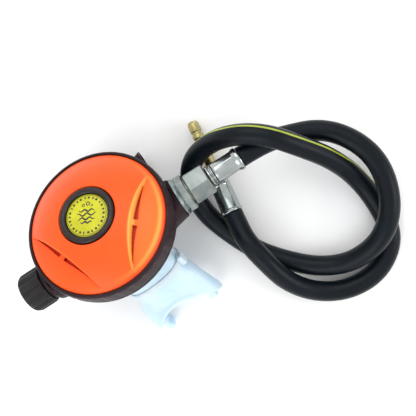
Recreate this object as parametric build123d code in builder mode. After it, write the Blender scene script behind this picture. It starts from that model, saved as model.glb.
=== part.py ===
from build123d import *
import math
import os

os.makedirs("parts", exist_ok=True)

# ---------------------------------------------------------------- dimensions
# millimetres, +Z up, floor at Z = 0, +X along the valve barrel to the hose.
# The regulator lies on its mouthpiece and exhaust tee, so its own frame
# (x barrel, y toward the exhaust, z out through the purge button) is tilted.
FACE_POS = (-10.32, 19.86, 58.04)          # centre of the front cover's rim plane
FACE_X = (0.9919, -0.0046, -0.1266)     # barrel direction, toward the hose
FACE_Z = (0.1167, 0.4227, 0.8987)    # cover normal

COVER_R = 39.8                       # visible radius of the orange cover
RING_R = 42.2                        # retaining ring
CASE_R = 41.8                        # case below the ring
BUTTON_R = 15.7
BUTTON_TRAVEL = 3.5
BY, BZ = -5.2, -18.0                 # barrel axis in the regulator's frame
BARREL_R = 7.0
BORE_R = 5.0
NUT_AF = 17.5                        # 11/16 in swivel nut across flats
HOSE_R = 6.0                         # 12 mm low pressure hose
FERRULE_R = 6.4
BARB_R = 3.5                         # quick-connect tail
KNOB_R = 11.6
TUBE_DIR = (0.2, -0.565, -0.8)       # mouthpiece axis in the regulator's frame
TUBE_POS = (3.0, -17.0, -36.5)

# hose route: corners of the run from the inlet ferrule to the outlet ferrule
ROUTE = [
    (71.56, 7.15, 33.36), (83.46, 7.09, 31.84), (97.55, 4.10, 24.00),
    (118.54, -4.53, 18.80), (131.06, -22.55, 19.77), (133.83, -41.63, 20.62),
    (126.25, -62.77, 20.52), (111.72, -75.80, 19.06), (91.47, -79.65, 10.67),
    (73.17, -73.19, 6.10), (57.43, -58.51, 6.23), (45.41, -43.01, 6.18),
    (36.67, -23.13, 6.18), (32.53, -7.97, 7.81), (33.83, 8.53, 11.41),
    (43.23, 21.33, 17.01), (58.52, 24.36, 27.00), (75.55, 19.90, 41.00),
    (91.22, 9.27, 44.00), (103.28, -6.68, 34.50), (113.32, -21.73, 22.00),
    (119.43, -38.63, 10.14), (121.15, -59.27, 6.18), (118.37, -79.97, 6.18),
    (101.02, -93.10, 6.18), (80.47, -93.56, 6.28), (63.23, -84.37, 8.41),
    (52.63, -68.97, 14.81), (49.43, -51.97, 21.01), (46.63, -36.07, 20.61),
    (46.55, -26.60, 16.23), (47.87, -16.82, 14.61),
]
TAIL_TIP = (55.78, 41.88, 4.91)      # end of the barbed tail

reg = Plane(origin=FACE_POS, x_dir=FACE_X, z_dir=FACE_Z)
UX, UY, UZ = reg.x_dir, reg.y_dir, reg.z_dir


def at(x, y, z):
    return reg.from_local_coords(Vector(x, y, z))


def across(z, x=0.0, y=0.0):
    """plane parallel to the cover's rim, at height z"""
    return Plane(origin=at(x, y, z), x_dir=UX, z_dir=UZ)


def along(x, y=BY, z=BZ):
    """plane square to the barrel, at station x"""
    return Plane(origin=at(x, y, z), x_dir=UY, z_dir=UX)


half = Plane(origin=at(0, 0, 0), x_dir=UX, z_dir=-UY)        # (r, z) profiles
half_b = Plane(origin=at(0, BY, BZ), x_dir=UX, z_dir=-UY)    # (x, r) profiles
face_axis = Axis(at(0, 0, 0), UZ)
barrel_axis = Axis(at(0, BY, BZ), UX)

_m = Vector(*TUBE_DIR).normalized()
_w = Vector(1, 0, 0.35)
_w = (_w - _m * _w.dot(_m)).normalized()
M = UX * _m.X + UY * _m.Y + UZ * _m.Z                        # mouthpiece axis
WD = UX * _w.X + UY * _w.Y + UZ * _w.Z                       # its width
tube0 = at(*TUBE_POS)


def tube(t, w=0.0, h=0.0):
    """plane square to the mouthpiece, t along it"""
    base = Plane(origin=tube0 + M * t, x_dir=WD, z_dir=M)
    return Plane(origin=base.from_local_coords(Vector(w, h, 0)), x_dir=WD, z_dir=M)


def profile(plane, pts):
    with BuildSketch(plane) as s:
        with BuildLine():
            Polyline(*pts, close=True)
        make_face()
    return s.sketch


def oval(plane, w, h):
    with BuildSketch(plane) as s:
        SlotOverall(w, h)
    return s.sketch


CASE_CLEAR = [
    (0, -4), (42.0, -4), (42.0, -20.6), (40.8, -25.1), (36.7, -31.2), (29.6, -37.5), (21.6, -42.4),
    (19.0, -43.2), (0, -43.2),
]

# ------------------------------------------------------------------- the case
with BuildPart() as case_shell:
    revolve(profile(half, [
        (40.9, -6.9), (40.9, -10.4), (CASE_R - 0.4, -10.4), (CASE_R, -11.0),
        (CASE_R, -20.5), (40.6, -25.0), (36.5, -31.0), (29.5, -37.3),
        (21.5, -42.2), (19.0, -43.0), (0, -43.0), (0, -40.6), (18.5, -40.6),
        (28.0, -35.2), (34.4, -29.6), (38.6, -23.6), (39.3, -20.5),
        (39.3, -12.5), (33.0, -10.2), (33.0, -8.5), (37.7, -8.5), (37.7, -6.9),
    ]), axis=face_axis)
    # bosses for the barrel, one at each side
    with BuildSketch(along(31.0)):
        Circle(17.0)
    with BuildSketch(along(43.3)):
        Circle(13.2)
    loft()
    with BuildSketch(along(-31.0)):
        Circle(16.0)
    with BuildSketch(along(-43.0)):
        Circle(12.2)
    loft()
    # mouthpiece spigot
    extrude(oval(tube(0), 33.0, 19.0), amount=17.5)
    # exhaust seat ring
    seat = Plane(origin=at(0, 17, -35.0), x_dir=UX, z_dir=UY * 0.5 - UZ * 0.866)
    with BuildSketch(seat):
        Circle(15.0)
    extrude(amount=9.0)
    # seat for the ring, the grille and the cover
    revolve(profile(half, [
        (0, -8.5), (37.7, -8.5), (37.7, -6.9), (40.9, -6.9), (40.9, -10.4), (60, -10.4), (60, 6), (0, 6),
    ]), axis=face_axis, mode=Mode.SUBTRACT)
    # hollow the inside again
    revolve(profile(half, [
        (0, -40.6), (18.5, -40.6), (28.0, -35.2), (34.4, -29.6), (38.6, -23.6),
        (39.3, -20.5), (39.3, -12.5), (33.0, -10.2), (33.0, -8.5), (0, -8.5),
    ]), axis=face_axis, mode=Mode.SUBTRACT)
    extrude(oval(tube(-8), 28.4, 14.4), amount=30, mode=Mode.SUBTRACT)
    with BuildSketch(seat.offset(-6)):
        Circle(11.0)
    extrude(amount=20, mode=Mode.SUBTRACT)
    with BuildSketch(along(-60)):
        Circle(BARREL_R + 0.02)
    extrude(amount=120, mode=Mode.SUBTRACT)
case_shell.part.label = "case_shell"

with BuildPart() as retaining_ring:
    revolve(profile(half, [
        (41.1, -10.2), (RING_R - 0.6, -10.2), (RING_R, -9.4), (RING_R, -0.6),
        (RING_R - 0.35, 0.15), (RING_R - 1.0, 0.6), (40.0, 0.6),
        (40.0, -2.2), (41.1, -2.2),
    ]), axis=face_axis)
    # shallow grip scallops round the outside
    with BuildSketch(across(-9.0)):
        with PolarLocations(RING_R + 2.7, 30):
            Circle(3.0)
    extrude(amount=8.2, mode=Mode.SUBTRACT)
retaining_ring.part.label = "retaining_ring"

with BuildPart() as front_cover:
    with BuildSketch(half):
        with BuildLine():
            a = Polyline((16.1, 8.0), (17.4, 8.0), (17.4, 3.5), (18.8, 3.5), (18.8, 9.2))
            b = ThreePointArc(a @ 1, (29.0, 5.0), (37.3, -1.3))
            c = Polyline(b @ 1, (37.3, -3.7), (40.9, -3.7), (40.9, -2.4), (COVER_R, -2.4), (COVER_R, 0.0))
            d = ThreePointArc(c @ 1, (30.2, 7.6), (17.4, 13.1))
            Polyline(d @ 1, (16.1, 13.1), (16.1, 8.0))
        make_face()
    revolve(axis=face_axis)
    # crescent vents, each in two lengths with a bridge between
    for mid in (-36, -155.5):
        for lo, hi in ((-34, -2.5), (2.5, 34)):
            with BuildSketch(across(-5)) as vent:
                with BuildLine():
                    p = [((24.9 + 6.5 * (abs(t) / 34) ** 2) * math.cos(math.radians(mid + t)),
                          (24.9 + 6.5 * (abs(t) / 34) ** 2) * math.sin(math.radians(mid + t)))
                         for t in (lo, (lo + hi) / 2, hi)]
                    q = [((24.9 + 6.5 * (abs(t) / 34) ** 2 + w) * math.cos(math.radians(mid + t)),
                          (24.9 + 6.5 * (abs(t) / 34) ** 2 + w) * math.sin(math.radians(mid + t)))
                         for t, w in ((hi, 0.9 if hi > 20 else 2.6), ((lo + hi) / 2, 2.4), (lo, 0.9 if lo < -20 else 2.6))]
                    ThreePointArc(*p)
                    Line(p[2], q[0])
                    ThreePointArc(*q)
                    Line(q[2], p[0])
                make_face()
            extrude(amount=25, mode=Mode.SUBTRACT)
front_cover.part.label = "front_cover"

# grille that holds the diaphragm's edge and guides the purge button's stem
with BuildPart() as inner_grille:
    revolve(profile(half, [
        (40.9, -6.8), (40.9, -3.8), (36.0, -3.8), (33.0, -3.2), (18.5, 0.9),
        (3.15, 0.9), (3.15, -0.6), (18.0, -0.6), (33.0, -5.2), (33.0, -6.8),
    ]), axis=face_axis)
    with BuildSketch(across(-8)):
        with PolarLocations(9.0, 8):
            Circle(2.6)
        with PolarLocations(25.5, 12):
            Circle(4.2)
    extrude(amount=12, mode=Mode.SUBTRACT)
inner_grille.part.label = "inner_grille"

# ------------------------------------------------------------ purge assembly
with BuildPart() as purge_button:
    revolve(profile(half, [
        (0, 11.8), (12.3, 11.8), (12.3, 13.9), (15.0, 13.9), (BUTTON_R, 13.1),
        (BUTTON_R, 7.4), (17.0, 7.4), (17.0, 6.0), (14.2, 6.0), (14.2, 10.2),
        (3.0, 10.2), (3.0, -4.6), (0, -4.6),
    ]), axis=face_axis)
purge_button.part.label = "purge_button"

with BuildPart() as purge_label:
    revolve(profile(half, [(0, 11.8), (12.25, 11.8), (12.25, 12.4), (11.7, 12.7), (0, 12.9)]), axis=face_axis)
purge_label.part.label = "purge_label"


def coil(label, centre, direction, height, turns, radius, wire):
    """open coil spring as a helical sweep"""
    with BuildPart() as s:
        with BuildLine() as path:
            line = Helix(pitch=(height - wire) / turns, height=height - wire, radius=radius,
                         center=centre + direction * (wire / 2), direction=direction)
        with BuildSketch(Plane(origin=line @ 0, z_dir=line % 0)):
            Circle(wire / 2)
        sweep(path=path.wires()[0])
    s.part.label = label
    return s


purge_spring = coil("purge_spring", at(0, 0, 1.05), UZ, 4.75, 2.5, 12.4, 1.1)

with BuildPart() as diaphragm:
    revolve(profile(half, [
        (37.5, -8.4), (37.5, -7.0), (33.2, -7.0), (31.0, -6.6), (28.5, -5.6),
        (26.0, -6.2), (22.0, -7.0), (16.0, -5.4), (13.4, -5.0), (13.4, -5.9),
        (16.0, -6.2), (22.0, -7.8), (26.0, -7.0), (28.5, -6.4), (31.0, -7.5),
        (33.2, -8.4),
    ]), axis=face_axis)
diaphragm.part.label = "diaphragm"

with BuildPart() as diaphragm_plate:
    revolve(profile(half, [(0, -4.9), (12.4, -4.9), (12.9, -5.2), (12.9, -5.9), (0, -5.9)]), axis=face_axis)
diaphragm_plate.part.label = "diaphragm_plate"

# ------------------------------------------------------------- demand lever
PIV_X, PIV_Z = -10.0, -10.2
with BuildPart() as demand_lever:
    side = Plane(origin=at(0, BY - 3.1, 0), x_dir=UX, z_dir=-UY)
    arm = profile(side, [(-10.4, -10.5), (-10.4, -9.8), (-6.0, -9.4), (9.0, -6.6), (12.0, -6.2),
                         (13.6, -6.5), (13.6, -7.2), (12.0, -7.1), (9.0, -7.5), (-6.0, -10.2)])
    extrude(arm, amount=-6.2)
    for y in (BY - 3.6, BY + 2.0):
        foot = profile(Plane(origin=at(0, y, 0), x_dir=UX, z_dir=-UY),
                       [(-10.2, -17.2), (-10.2, -9.9), (-9.0, -9.9), (-9.0, -17.2)])
        extrude(foot, amount=-1.6)
    # rolled fulcrum
    with BuildSketch(Plane(origin=at(PIV_X, BY - 3.6, PIV_Z), x_dir=UX, z_dir=UY)):
        Circle(0.5)
    extrude(amount=7.2)
demand_lever.part.label = "demand_lever"

# ------------------------------------------------------------- valve barrel
with BuildPart() as valve_barrel:
    revolve(profile(half_b, [
        (-44.6, BORE_R), (-44.6, 9.4), (-43.2, 9.4), (-43.2, BARREL_R), (-34.0, BARREL_R),
        (-34.0, 6.2), (-32.2, 6.2), (-32.2, BARREL_R), (32.2, BARREL_R), (32.2, 6.2),
        (34.0, 6.2), (34.0, BARREL_R), (51.3, BARREL_R), (51.7, 6.7), (59.3, 6.7),
        (59.7, 6.3), (59.7, 3.0), (39.6, 3.0), (39.6, BORE_R),
    ]), axis=barrel_axis)
    # window for the lever's feet
    with BuildSketch(Plane(origin=at(0, BY, BZ + 3.2), x_dir=UX, z_dir=UZ)):
        with Locations((-9.8, 0)):
            Rectangle(7.4, 9.0)
    extrude(amount=5, mode=Mode.SUBTRACT)
    # air holes in the underside
    with BuildSketch(Plane(origin=at(0, BY, BZ), x_dir=UX, z_dir=-UZ)):
        with Locations((8, 0), (14, 0)):
            Circle(1.8)
    extrude(amount=8, mode=Mode.SUBTRACT)
valve_barrel.part.label = "valve_barrel"


def oring(label, x, r_mid, minor):
    with BuildPart() as s:
        with BuildSketch(half_b):
            with Locations((x, r_mid)):
                Circle(minor)
        revolve(axis=barrel_axis)
    s.part.label = label
    return s


barrel_oring_in = oring("barrel_oring_in", 33.1, 6.6, 0.4)
barrel_oring_out = oring("barrel_oring_out", -33.1, 6.6, 0.4)

with BuildPart() as inlet_locknut:
    with BuildSketch(along(45.4)):
        RegularPolygon(9.6, 6, major_radius=False)
    extrude(amount=5.0)
    cone = revolve(profile(half_b, [(43.4, 7.0), (43.4, 11.4), (44.3, 11.4), (46.3, 9.6), (46.3, 7.0)]), axis=barrel_axis)
    with BuildSketch(along(40)):
        Circle(BARREL_R)
    extrude(amount=20, mode=Mode.SUBTRACT)
inlet_locknut.part.label = "inlet_locknut"

with BuildPart() as orifice:
    revolve(profile(half_b, [
        (20.1, 2.0), (20.1, 2.5), (21.2, 3.2), (22.0, 4.95), (27.0, 4.95), (27.0, 4.2),
        (28.8, 4.2), (28.8, 4.95), (36.0, 4.95), (36.0, 2.0),
    ]), axis=barrel_axis)
orifice.part.label = "orifice"
orifice_oring = oring("orifice_oring", 27.9, 4.58, 0.38)

with BuildPart() as poppet:
    revolve(profile(half_b, [
        (-12.3, 0), (-12.3, 4.93), (-10.5, 4.93), (-10.5, 1.5), (13.6, 1.5),
        (14.0, 4.2), (19.6, 4.2), (19.6, 3.42), (17.8, 3.42), (17.8, 0),
    ]), axis=barrel_axis)
poppet.part.label = "poppet"

with BuildPart() as poppet_seat:
    with BuildSketch(along(17.8)):
        Circle(3.42)
    extrude(amount=2.2)
poppet_seat.part.label = "poppet_seat"

poppet_spring = coil("poppet_spring", at(-21.9, BY, BZ), UX, 9.5, 6, 3.3, 0.8)

with BuildPart() as spring_carrier:
    revolve(profile(half_b, [
        (-30.5, 2.75), (-30.5, 4.93), (-27.4, 4.93), (-27.4, 4.2), (-25.6, 4.2),
        (-25.6, 4.93), (-22.0, 4.93), (-22.0, 0), (-24.0, 0), (-24.0, 2.75),
    ]), axis=barrel_axis)
spring_carrier.part.label = "spring_carrier"
carrier_oring = oring("carrier_oring", -26.5, 4.58, 0.38)

# ------------------------------------------------------------ adjusting knob
with BuildPart() as knob_gland:
    revolve(profile(half_b, [
        (-48.4, 2.75), (-48.4, 6.9), (-44.7, 6.9), (-44.7, BORE_R), (-36.0, BORE_R), (-36.0, 2.75),
    ]), axis=barrel_axis)
knob_gland.part.label = "knob_gland"

with BuildPart() as adjusting_knob:
    revolve(profile(half_b, [
        (-59.4, 2.66), (-59.4, 9.6), (-58.2, 11.0), (-56.6, KNOB_R), (-46.6, KNOB_R), (-45.4, 10.6),
        (-45.4, 9.9), (-50.6, 9.9), (-50.6, 2.66),
    ]), axis=barrel_axis)
    # finger flutes
    with BuildSketch(along(-57.4)):
        with PolarLocations(KNOB_R + 1.0, 12):
            Circle(1.9)
    extrude(amount=10.0, mode=Mode.SUBTRACT)
adjusting_knob.part.label = "adjusting_knob"

with BuildPart() as knob_screw:
    revolve(profile(half_b, [
        (-60.2, 0), (-60.2, 4.4), (-59.4, 4.4), (-59.4, 2.66), (-27.6, 2.66), (-27.0, 2.0), (-27.0, 0),
    ]), axis=barrel_axis)
    with BuildSketch(along(-60.2)):
        Rectangle(6.0, 0.9)
    extrude(amount=0.5, mode=Mode.SUBTRACT)
knob_screw.part.label = "knob_screw"

# --------------------------------------------------------- inlet and hose end
with BuildPart() as swivel_nut:
    with BuildSketch(along(50.9)):
        RegularPolygon(NUT_AF / 2, 6, major_radius=False)
    extrude(amount=13.0)
    # turned corners at both ends
    collar = revolve(profile(half_b, [
        (50.9, 0), (50.9, 9.2), (51.8, 10.2), (63.0, 10.2), (63.9, 9.2), (63.9, 0),
    ]), axis=barrel_axis, mode=Mode.INTERSECT)
    revolve(profile(half_b, [(50, 0), (50, 6.78), (61.5, 6.78), (61.5, 4.9), (66, 4.9), (66, 0)]),
            axis=barrel_axis, mode=Mode.SUBTRACT)
    with BuildSketch(along(49.9)):
        Circle(7.35)
    extrude(amount=2.1, mode=Mode.SUBTRACT)
swivel_nut.part.label = "swivel_nut"

with BuildPart() as hose_stem:
    revolve(profile(half_b, [
        (59.9, 2.0), (59.9, 6.2), (61.2, 6.2), (61.2, 4.6), (64.3, 4.6), (64.3, 6.4), (65.7, 6.4),
        (65.7, 5.2), (66.4, 5.2), (66.4, 6.0), (67.3, 6.0), (67.3, 4.4), (81.0, 4.4), (81.0, 2.0),
    ]), axis=barrel_axis)
hose_stem.part.label = "hose_stem"

with BuildPart() as inlet_ferrule:
    revolve(profile(half_b, [
        (67.6, 4.4), (67.6, 5.6), (68.4, FERRULE_R), (82.0, FERRULE_R), (82.8, 6.9), (84.4, 6.9),
        (84.4, 4.4),
    ]), axis=barrel_axis)
    # eight crimped flats
    with BuildSketch(along(69.4)):
        Circle(9)
        RegularPolygon(FERRULE_R * 0.955, 8, major_radius=False, mode=Mode.SUBTRACT)
    extrude(amount=11.6, mode=Mode.SUBTRACT)
inlet_ferrule.part.label = "inlet_ferrule"

# --------------------------------------------------------------------- hose
pts = [Vector(*p) for p in ROUTE]
radii = []
for i in range(1, len(pts) - 1):
    u, v = pts[i] - pts[i - 1], pts[i + 1] - pts[i]
    turn = math.radians(u.get_angle(v))
    radii.append(0.45 * min(u.length, v.length) / math.tan(turn / 2))
with BuildPart() as hose:
    with BuildLine() as run:
        FilletPolyline(*pts, radius=radii)
    with BuildSketch(Plane(origin=pts[0], z_dir=pts[1] - pts[0])):
        Circle(HOSE_R)
    sweep(path=run.wires()[0])
hose.part.label = "hose"
print("hose radii", [round(r) for r in radii])
hose_len = sum(e.length for e in run.edges())
print("hose length", round(hose_len, 1), "volume", round(hose.part.volume),
      "section x length", round(math.pi * HOSE_R ** 2 * hose_len))

# --------------------------------------------------- outlet ferrule and tail
tail_dir = (Vector(*TAIL_TIP) - pts[-1]).normalized()
TAIL_LEN = (Vector(*TAIL_TIP) - pts[-1]).length
far = Plane(origin=pts[-1], z_dir=tail_dir)
far_half = Plane(origin=pts[-1], x_dir=far.x_dir, z_dir=-far.y_dir)   # (r, s) profiles
far_axis = Axis(pts[-1], tail_dir)

with BuildPart() as outlet_ferrule:
    revolve(profile(far_half, [
        (2.2, 0.02), (FERRULE_R, 0.02), (FERRULE_R, 1.4), (FERRULE_R - 0.25, 2.0), (FERRULE_R - 0.25, 18.4),
        (FERRULE_R - 0.8, 19.6), (2.2, 19.6),
    ]), axis=far_axis)
outlet_ferrule.part.label = "outlet_ferrule"

L = TAIL_LEN
with BuildPart() as barbed_fitting:
    with BuildSketch(far.offset(23.4)):
        RegularPolygon(5.6, 6, major_radius=False)
    extrude(amount=7.0)
    revolve(profile(far_half, [
        (2.0, 19.8), (4.6, 19.8), (4.6, 22.6), (5.6, 22.6), (5.6, 23.4), (4.9, 30.4), (3.6, 31.2),
        (3.3, L - 15.0), (2.8, L - 14.4), (2.8, L - 12.0), (BARB_R - 0.1, L - 10.8),
        (BARB_R - 0.1, L - 8.4), (2.9, L - 8.0), (2.9, L - 6.8), (BARB_R, L - 6.4), (BARB_R, L - 1.6),
        (2.8, L), (1.6, L), (1.6, 24.0), (2.0, 24.0),
    ]), axis=far_axis)
    with BuildSketch(far.offset(19.0)):
        Circle(1.6)
    extrude(amount=L, mode=Mode.SUBTRACT)
barbed_fitting.part.label = "barbed_fitting"

# ----------------------------------------------------- exhaust valve and tee
with BuildPart() as exhaust_valve:
    with BuildSketch(seat.offset(9.1)):
        Circle(13.2)
    extrude(amount=0.9)
    with BuildSketch(seat.offset(10.0)):
        Circle(2.2)
    extrude(amount=1.6)
exhaust_valve.part.label = "exhaust_valve"

# deflector: a flat box over the valve that opens into a duct at each side
with BuildPart() as exhaust_tee:
    for s in (1, -1):
        stations = ((0.0, 27.0, -43.55, 30.0, 12.0), (18.0, 29.5, -40.75, 25.0, 11.6), (35.0, 34.0, -34.05, 18.0, 11.0))
        for x, y, z, wy, wz in stations:
            with BuildSketch(Plane(origin=at(s * x, y, z), x_dir=UY * 0.866 + UZ * 0.5, z_dir=UX * s)):
                RectangleRounded(wy, wz, 3.5)
        loft()
    for s in (1, -1):
        for x, y, z, wy, wz in ((0.0, 27.0, -43.55, 26.4, 8.4), (18.0, 29.5, -40.75, 21.4, 8.0), (36.0, 34.2, -33.75, 14.4, 7.4)):
            with BuildSketch(Plane(origin=at(s * x, y, z), x_dir=UY * 0.866 + UZ * 0.5, z_dir=UX * s)):
                RectangleRounded(wy, wz, 2.4)
        loft(mode=Mode.SUBTRACT)
    # clear the case and the seat ring
    with BuildSketch(seat.offset(-12)):
        Circle(15.05)
    extrude(amount=24.0, mode=Mode.SUBTRACT)
    revolve(profile(half, CASE_CLEAR), axis=face_axis, mode=Mode.SUBTRACT)
exhaust_tee.part.label = "exhaust_tee"

# --------------------------------------------------------------- mouthpiece
with BuildPart() as mouthpiece:
    with BuildSketch(tube(7.0)):
        SlotOverall(37.6, 23.6)
    with BuildSketch(tube(20.0)):
        SlotOverall(37.0, 23.0)
    loft()
    with BuildSketch(tube(20.0)):
        SlotOverall(37.0, 23.0)
    with BuildSketch(tube(34.5)):
        SlotOverall(32.0, 17.0)
    loft()
    # lip flange, bowed like the dental arch
    arch = Plane(origin=tube(0).from_local_coords(Vector(0, -11.5, 0)), x_dir=WD, z_dir=tube(0).y_dir)
    with BuildSketch(arch):
        with BuildLine():
            o = ThreePointArc((-24.5, -48.0), (0, -33.0), (24.5, -48.0))
            Line(o @ 1, (23.6, -49.6))
            i = ThreePointArc((23.6, -49.6), (0, -35.6), (-23.6, -49.6))
            Line(i @ 1, o @ 0)
        make_face()
    extrude(amount=23.0)
    with BuildSketch(tube(28.0)):
        Rectangle(80, 60)
        Ellipse(24.7, 11.6, mode=Mode.SUBTRACT)
    extrude(amount=30.0, mode=Mode.SUBTRACT)
    # bite tabs
    for s in (1, -1):
        with BuildSketch(tube(38.0, s * 17.5, 0)):
            RectangleRounded(7.0, 8.0, 2.0)
        extrude(amount=13.0)
    # airway
    with BuildSketch(tube(6.0)):
        SlotOverall(33.0, 19.0)
    extrude(amount=12.0, mode=Mode.SUBTRACT)
    with BuildSketch(tube(17.9)):
        SlotOverall(28.4, 14.4)
    with BuildSketch(tube(50.0)):
        SlotOverall(26.0, 11.0)
    loft(mode=Mode.SUBTRACT)
    revolve(profile(half, CASE_CLEAR), axis=face_axis, mode=Mode.SUBTRACT)
mouthpiece.part.label = "mouthpiece"

with BuildPart() as mouthpiece_tie:
    with BuildSketch(tube(11.0)):
        SlotOverall(40.2, 26.2)
        SlotOverall(37.8, 23.8, mode=Mode.SUBTRACT)
    extrude(amount=4.6)
    with BuildSketch(tube(10.4, 16.5, 10.5)):
        Rectangle(6.5, 4.6)
    extrude(amount=5.8)
    with BuildSketch(tube(6.9)):
        SlotOverall(37.8, 23.8)
    extrude(amount=14, mode=Mode.SUBTRACT)
mouthpiece_tie.part.label = "mouthpiece_tie"

# ------------------------------------------------------------------- export
for piece in (case_shell, retaining_ring, front_cover, inner_grille, purge_button, purge_label,
              purge_spring, diaphragm, diaphragm_plate, demand_lever, valve_barrel, barrel_oring_in,
              barrel_oring_out, inlet_locknut, orifice, orifice_oring, poppet, poppet_seat,
              poppet_spring, spring_carrier, carrier_oring, knob_gland, adjusting_knob, knob_screw,
              swivel_nut, hose_stem, inlet_ferrule, hose, outlet_ferrule, barbed_fitting,
              exhaust_valve, exhaust_tee, mouthpiece, mouthpiece_tie):
    export_step(piece.part, "parts/" + piece.part.label + ".step")

rigid = Compound(children=[p.part for p in (case_shell, retaining_ring, front_cover, purge_button, adjusting_knob, knob_screw,
                                            swivel_nut, hose_stem, inlet_ferrule, exhaust_tee, mouthpiece, mouthpiece_tie)])
rb = rigid.bounding_box()
print("rigid box", rb.min, rb.max)
low = [(round(p.part.bounding_box().min.Z, 2), p.part.label) for p in (mouthpiece, exhaust_tee, barbed_fitting, hose, inlet_ferrule)]
print("lowest", sorted(low))
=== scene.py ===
import bpy
import bmesh
import math
from mathutils import Matrix, Vector, noise


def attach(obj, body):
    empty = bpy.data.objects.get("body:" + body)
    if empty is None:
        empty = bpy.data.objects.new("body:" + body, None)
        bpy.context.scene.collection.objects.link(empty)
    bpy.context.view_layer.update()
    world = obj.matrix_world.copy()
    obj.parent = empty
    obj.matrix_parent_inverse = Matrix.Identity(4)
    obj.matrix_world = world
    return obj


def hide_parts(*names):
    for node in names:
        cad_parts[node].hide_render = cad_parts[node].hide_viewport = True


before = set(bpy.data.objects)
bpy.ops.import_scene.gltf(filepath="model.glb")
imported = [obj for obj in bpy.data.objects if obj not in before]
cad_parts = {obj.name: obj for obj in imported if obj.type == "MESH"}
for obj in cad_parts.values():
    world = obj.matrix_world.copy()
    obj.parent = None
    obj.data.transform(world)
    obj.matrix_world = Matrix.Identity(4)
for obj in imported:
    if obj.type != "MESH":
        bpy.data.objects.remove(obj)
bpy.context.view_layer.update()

S = 0.001

# ------------------------------------------------------------------ camera
cam_data = bpy.data.cameras.new("view")
cam = bpy.data.objects.new("view", cam_data)
bpy.context.scene.collection.objects.link(cam)
right = Vector((0.82013, -0.54875, -0.16207))
up = Vector((0.53879, 0.83598, -0.10407))
back = Vector((0.1926, -0.00198, 0.98128))
cam.matrix_world = Matrix((
    (right.x, up.x, back.x, 0.112682),
    (right.y, up.y, back.y, -0.007414),
    (right.z, up.z, back.z, 0.400147),
    (0, 0, 0, 1)))
cam_data.sensor_width = 36.0
cam_data.lens = 57.17
cam_data.clip_start = 0.01
cam_data.dof.use_dof = False
bpy.context.scene.camera = cam

# --------------------------------------------------- the regulator's frame
O = Vector((-10.32, 19.86, 58.04)) * S
UZ = Vector((0.1167, 0.4227, 0.8987)).normalized()
UX = Vector((0.9919, -0.0046, -0.1266))
UX = (UX - UZ * UX.dot(UZ)).normalized()
UY = UZ.cross(UX)


def basis(o, x, y, z):
    return Matrix(((x.x, y.x, z.x, o.x), (x.y, y.y, z.y, o.y), (x.z, y.z, z.z, o.z), (0, 0, 0, 1)))


def at(x, y, z):
    return O + (UX * x + UY * y + UZ * z) * S


REG = basis(O, UX, UY, UZ)                            # x barrel, y exhaust, z cover normal
BAR = basis(at(0, -5.2, -18.0), UY, UZ, UX)           # z along the barrel toward the hose
_m = Vector((0.2, -0.565, -0.8)).normalized()
_w = Vector((1, 0, 0.35))
_w = (_w - _m * _w.dot(_m)).normalized()
MD = (UX * _m.x + UY * _m.y + UZ * _m.z).normalized()
WD = (UX * _w.x + UY * _w.y + UZ * _w.z).normalized()
HD = MD.cross(WD)
TUBE = basis(at(3.0, -17.0, -36.5), WD, HD, MD)       # z along the mouthpiece

# --------------------------------------------------------------- materials
def nodes_of(name):
    m = bpy.data.materials.new(name)
    m.use_nodes = True
    nt = m.node_tree
    bsdf = next(n for n in nt.nodes if n.type == "BSDF_PRINCIPLED")
    return m, nt, bsdf


def add(nt, kind, **kw):
    n = nt.nodes.new(kind)
    for k, v in kw.items():
        if k in n.inputs:
            n.inputs[k].default_value = v
        else:
            setattr(n, k, v)
    return n


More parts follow.
